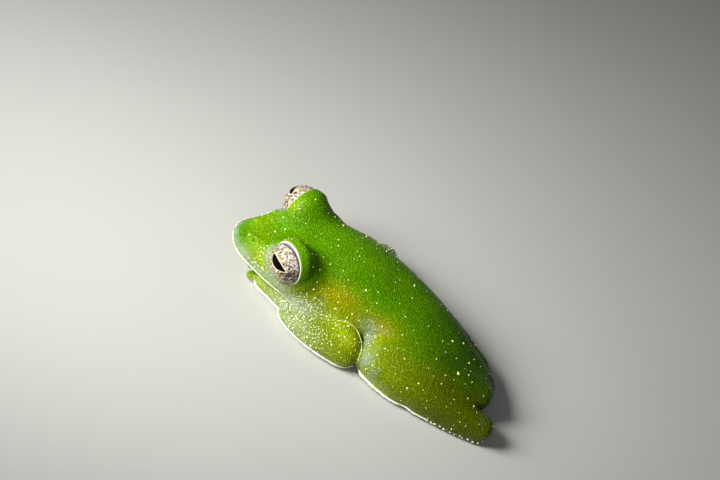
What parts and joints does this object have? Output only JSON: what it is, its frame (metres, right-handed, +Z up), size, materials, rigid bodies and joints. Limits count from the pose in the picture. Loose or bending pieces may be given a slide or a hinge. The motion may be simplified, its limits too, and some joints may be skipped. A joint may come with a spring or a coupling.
{
  "type": "glass frog",
  "caption": "Small green glass frog at rest with all four limbs folded against the body, a still life-size model that stands on its belly, hands and feet.",
  "frame": {"origin": "centre of the bounding box's base, on the surface the frog sits on", "axes": "+Z up, -Y towards the snout, +X towards the frog's own left side"},
  "size_m": [0.0154, 0.0278, 0.0068],
  "materials": {
    "skin_back": "moist, finely granular skin with small pale warts",
    "skin_limb": "moist, finely granular, slightly translucent skin with small pale warts",
    "skin_pale": "moist translucent skin",
    "eye": "wet and glossy"
  },
  "bodies": {
    "root": {"eye_left": "eye", "eye_right": "eye", "foot_left": "skin_pale", "foot_right": "skin_pale", "forearm_left": "skin_limb", "forearm_right": "skin_limb", "hand_left": "skin_pale", "hand_right": "skin_pale", "head": "skin_back", "lower_jaw": "skin_pale", "shank_left": "skin_limb", "shank_right": "skin_limb", "tarsus_left": "skin_limb", "tarsus_right": "skin_limb", "thigh_left": "skin_limb", "thigh_right": "skin_limb", "torso": "skin_back", "upper_arm_left": "skin_limb", "upper_arm_right": "skin_limb"}
  },
  "joints": []
}
